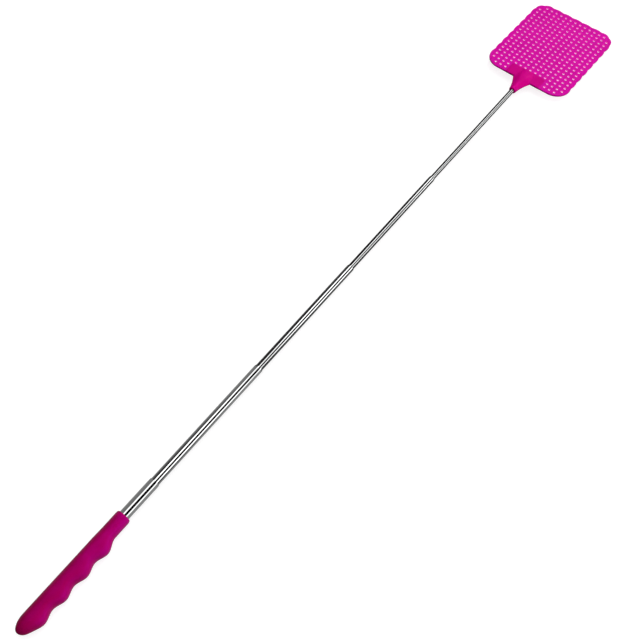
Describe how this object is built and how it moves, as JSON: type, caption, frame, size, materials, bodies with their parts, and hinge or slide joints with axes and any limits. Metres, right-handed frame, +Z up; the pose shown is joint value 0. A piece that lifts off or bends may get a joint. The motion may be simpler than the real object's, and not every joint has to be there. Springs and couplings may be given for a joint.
{
  "type": "telescopic fly swatter",
  "caption": "Telescopic fly swatter: contoured soft grip, nested chromed tubes that slide and swivel on friction springs, and a square perforated blade with a scalloped rim.",
  "frame": {"origin": "under the middle of the extended swatter's length, on the tubes' axis line, at the height of the grip's lowest point", "axes": "+X along the tubes from grip to blade, +Y towards the straight back of the grip (the finger grooves face -Y), +Z up, out of the blade's upper face, which leans 2.5 degrees down towards its far edge"},
  "size_m": [0.7024, 0.08, 0.014],
  "materials": {
    "grip": "satin soft PVC, magenta",
    "tube": "polished, plated steel tube",
    "spring": "rolled phosphor bronze strip",
    "brass": "turned",
    "plug": "moulded",
    "head": "moulded soft-gloss polyethylene, bright magenta"
  },
  "bodies": {
    "handle": {"grip": "grip", "end_plug": "plug", "tube_1": "tube"},
    "springs_2": {"friction_spring_2a": "spring", "friction_spring_2b": "spring"},
    "section_2": {"tube_2": "tube", "tail_bush_2": "brass"},
    "springs_3": {"friction_spring_3a": "spring", "friction_spring_3b": "spring"},
    "section_3": {"tube_3": "tube", "tail_bush_3": "brass"},
    "springs_4": {"friction_spring_4a": "spring", "friction_spring_4b": "spring"},
    "section_4": {"tube_4": "tube", "tail_bush_4": "brass"},
    "springs_5": {"friction_spring_5a": "spring", "friction_spring_5b": "spring"},
    "section_5": {"tube_5": "tube", "tail_bush_5": "brass", "tip_plug": "brass", "swatter_head": "head"}
  },
  "joints": [
    {"name": "section_2_slide", "type": "slide", "parent": "handle", "child": "springs_2", "axis": [1, 0, 0], "range_m": [-0.104, 0]},
    {"name": "section_2_swivel", "type": "hinge", "parent": "springs_2", "child": "section_2", "pos_m": [-0.2357, 0, 0.007], "axis": [1, 0, 0], "continuous": true},
    {"name": "section_3_slide", "type": "slide", "parent": "section_2", "child": "springs_3", "axis": [1, 0, 0], "range_m": [-0.10725, 0]},
    {"name": "section_3_swivel", "type": "hinge", "parent": "springs_3", "child": "section_3", "pos_m": [-0.12395, 0, 0.007], "axis": [1, 0, 0], "continuous": true},
    {"name": "section_4_slide", "type": "slide", "parent": "section_3", "child": "springs_4", "axis": [1, 0, 0], "range_m": [-0.10725, 0]},
    {"name": "section_4_swivel", "type": "hinge", "parent": "springs_4", "child": "section_4", "pos_m": [-0.0122, 0, 0.007], "axis": [1, 0, 0], "continuous": true},
    {"name": "section_5_slide", "type": "slide", "parent": "section_4", "child": "springs_5", "axis": [1, 0, 0], "range_m": [-0.10725, 0]},
    {"name": "section_5_swivel", "type": "hinge", "parent": "springs_5", "child": "section_5", "pos_m": [0.09955, 0, 0.007], "axis": [1, 0, 0], "continuous": true}
  ]
}
